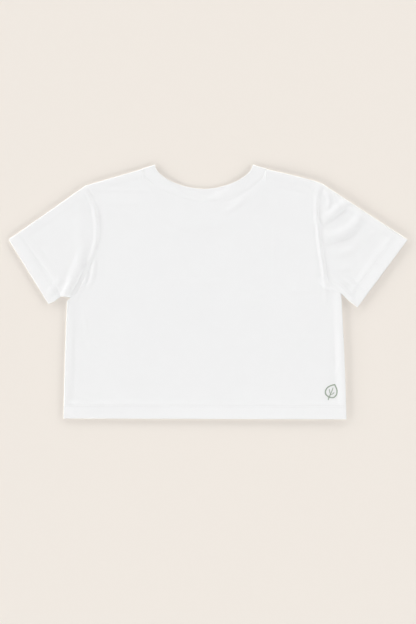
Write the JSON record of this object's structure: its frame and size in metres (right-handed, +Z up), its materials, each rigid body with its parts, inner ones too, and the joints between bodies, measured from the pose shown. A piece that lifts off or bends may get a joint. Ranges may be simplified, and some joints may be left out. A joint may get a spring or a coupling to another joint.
{
  "type": "crop top laid flat",
  "caption": "Boxy short-sleeved jersey crop top laid flat, back upwards: body panels lie on each other, sleeves spread, rib round the neck, turned hems.",
  "frame": {"origin": "on the surface that the top lies on, under the middle of its bounding box", "axes": "+Z up from the surface, +Y from the hem to the neck, +X along the hem to the viewer's right, which is the wearer's right because the back is upwards"},
  "size_m": [0.718, 0.4576, 0.0066],
  "materials": {
    "jersey": "white cotton jersey, matt, fine vertical knit wales",
    "rib": "white one-by-one cotton rib, matt",
    "thread": "sage green embroidery thread with a soft sheen"
  },
  "bodies": {
    "root": {"back_panel": "jersey", "front_panel": "jersey", "sleeve_left": "jersey", "sleeve_right": "jersey", "neck_rib": "rib"}
  },
  "joints": []
}
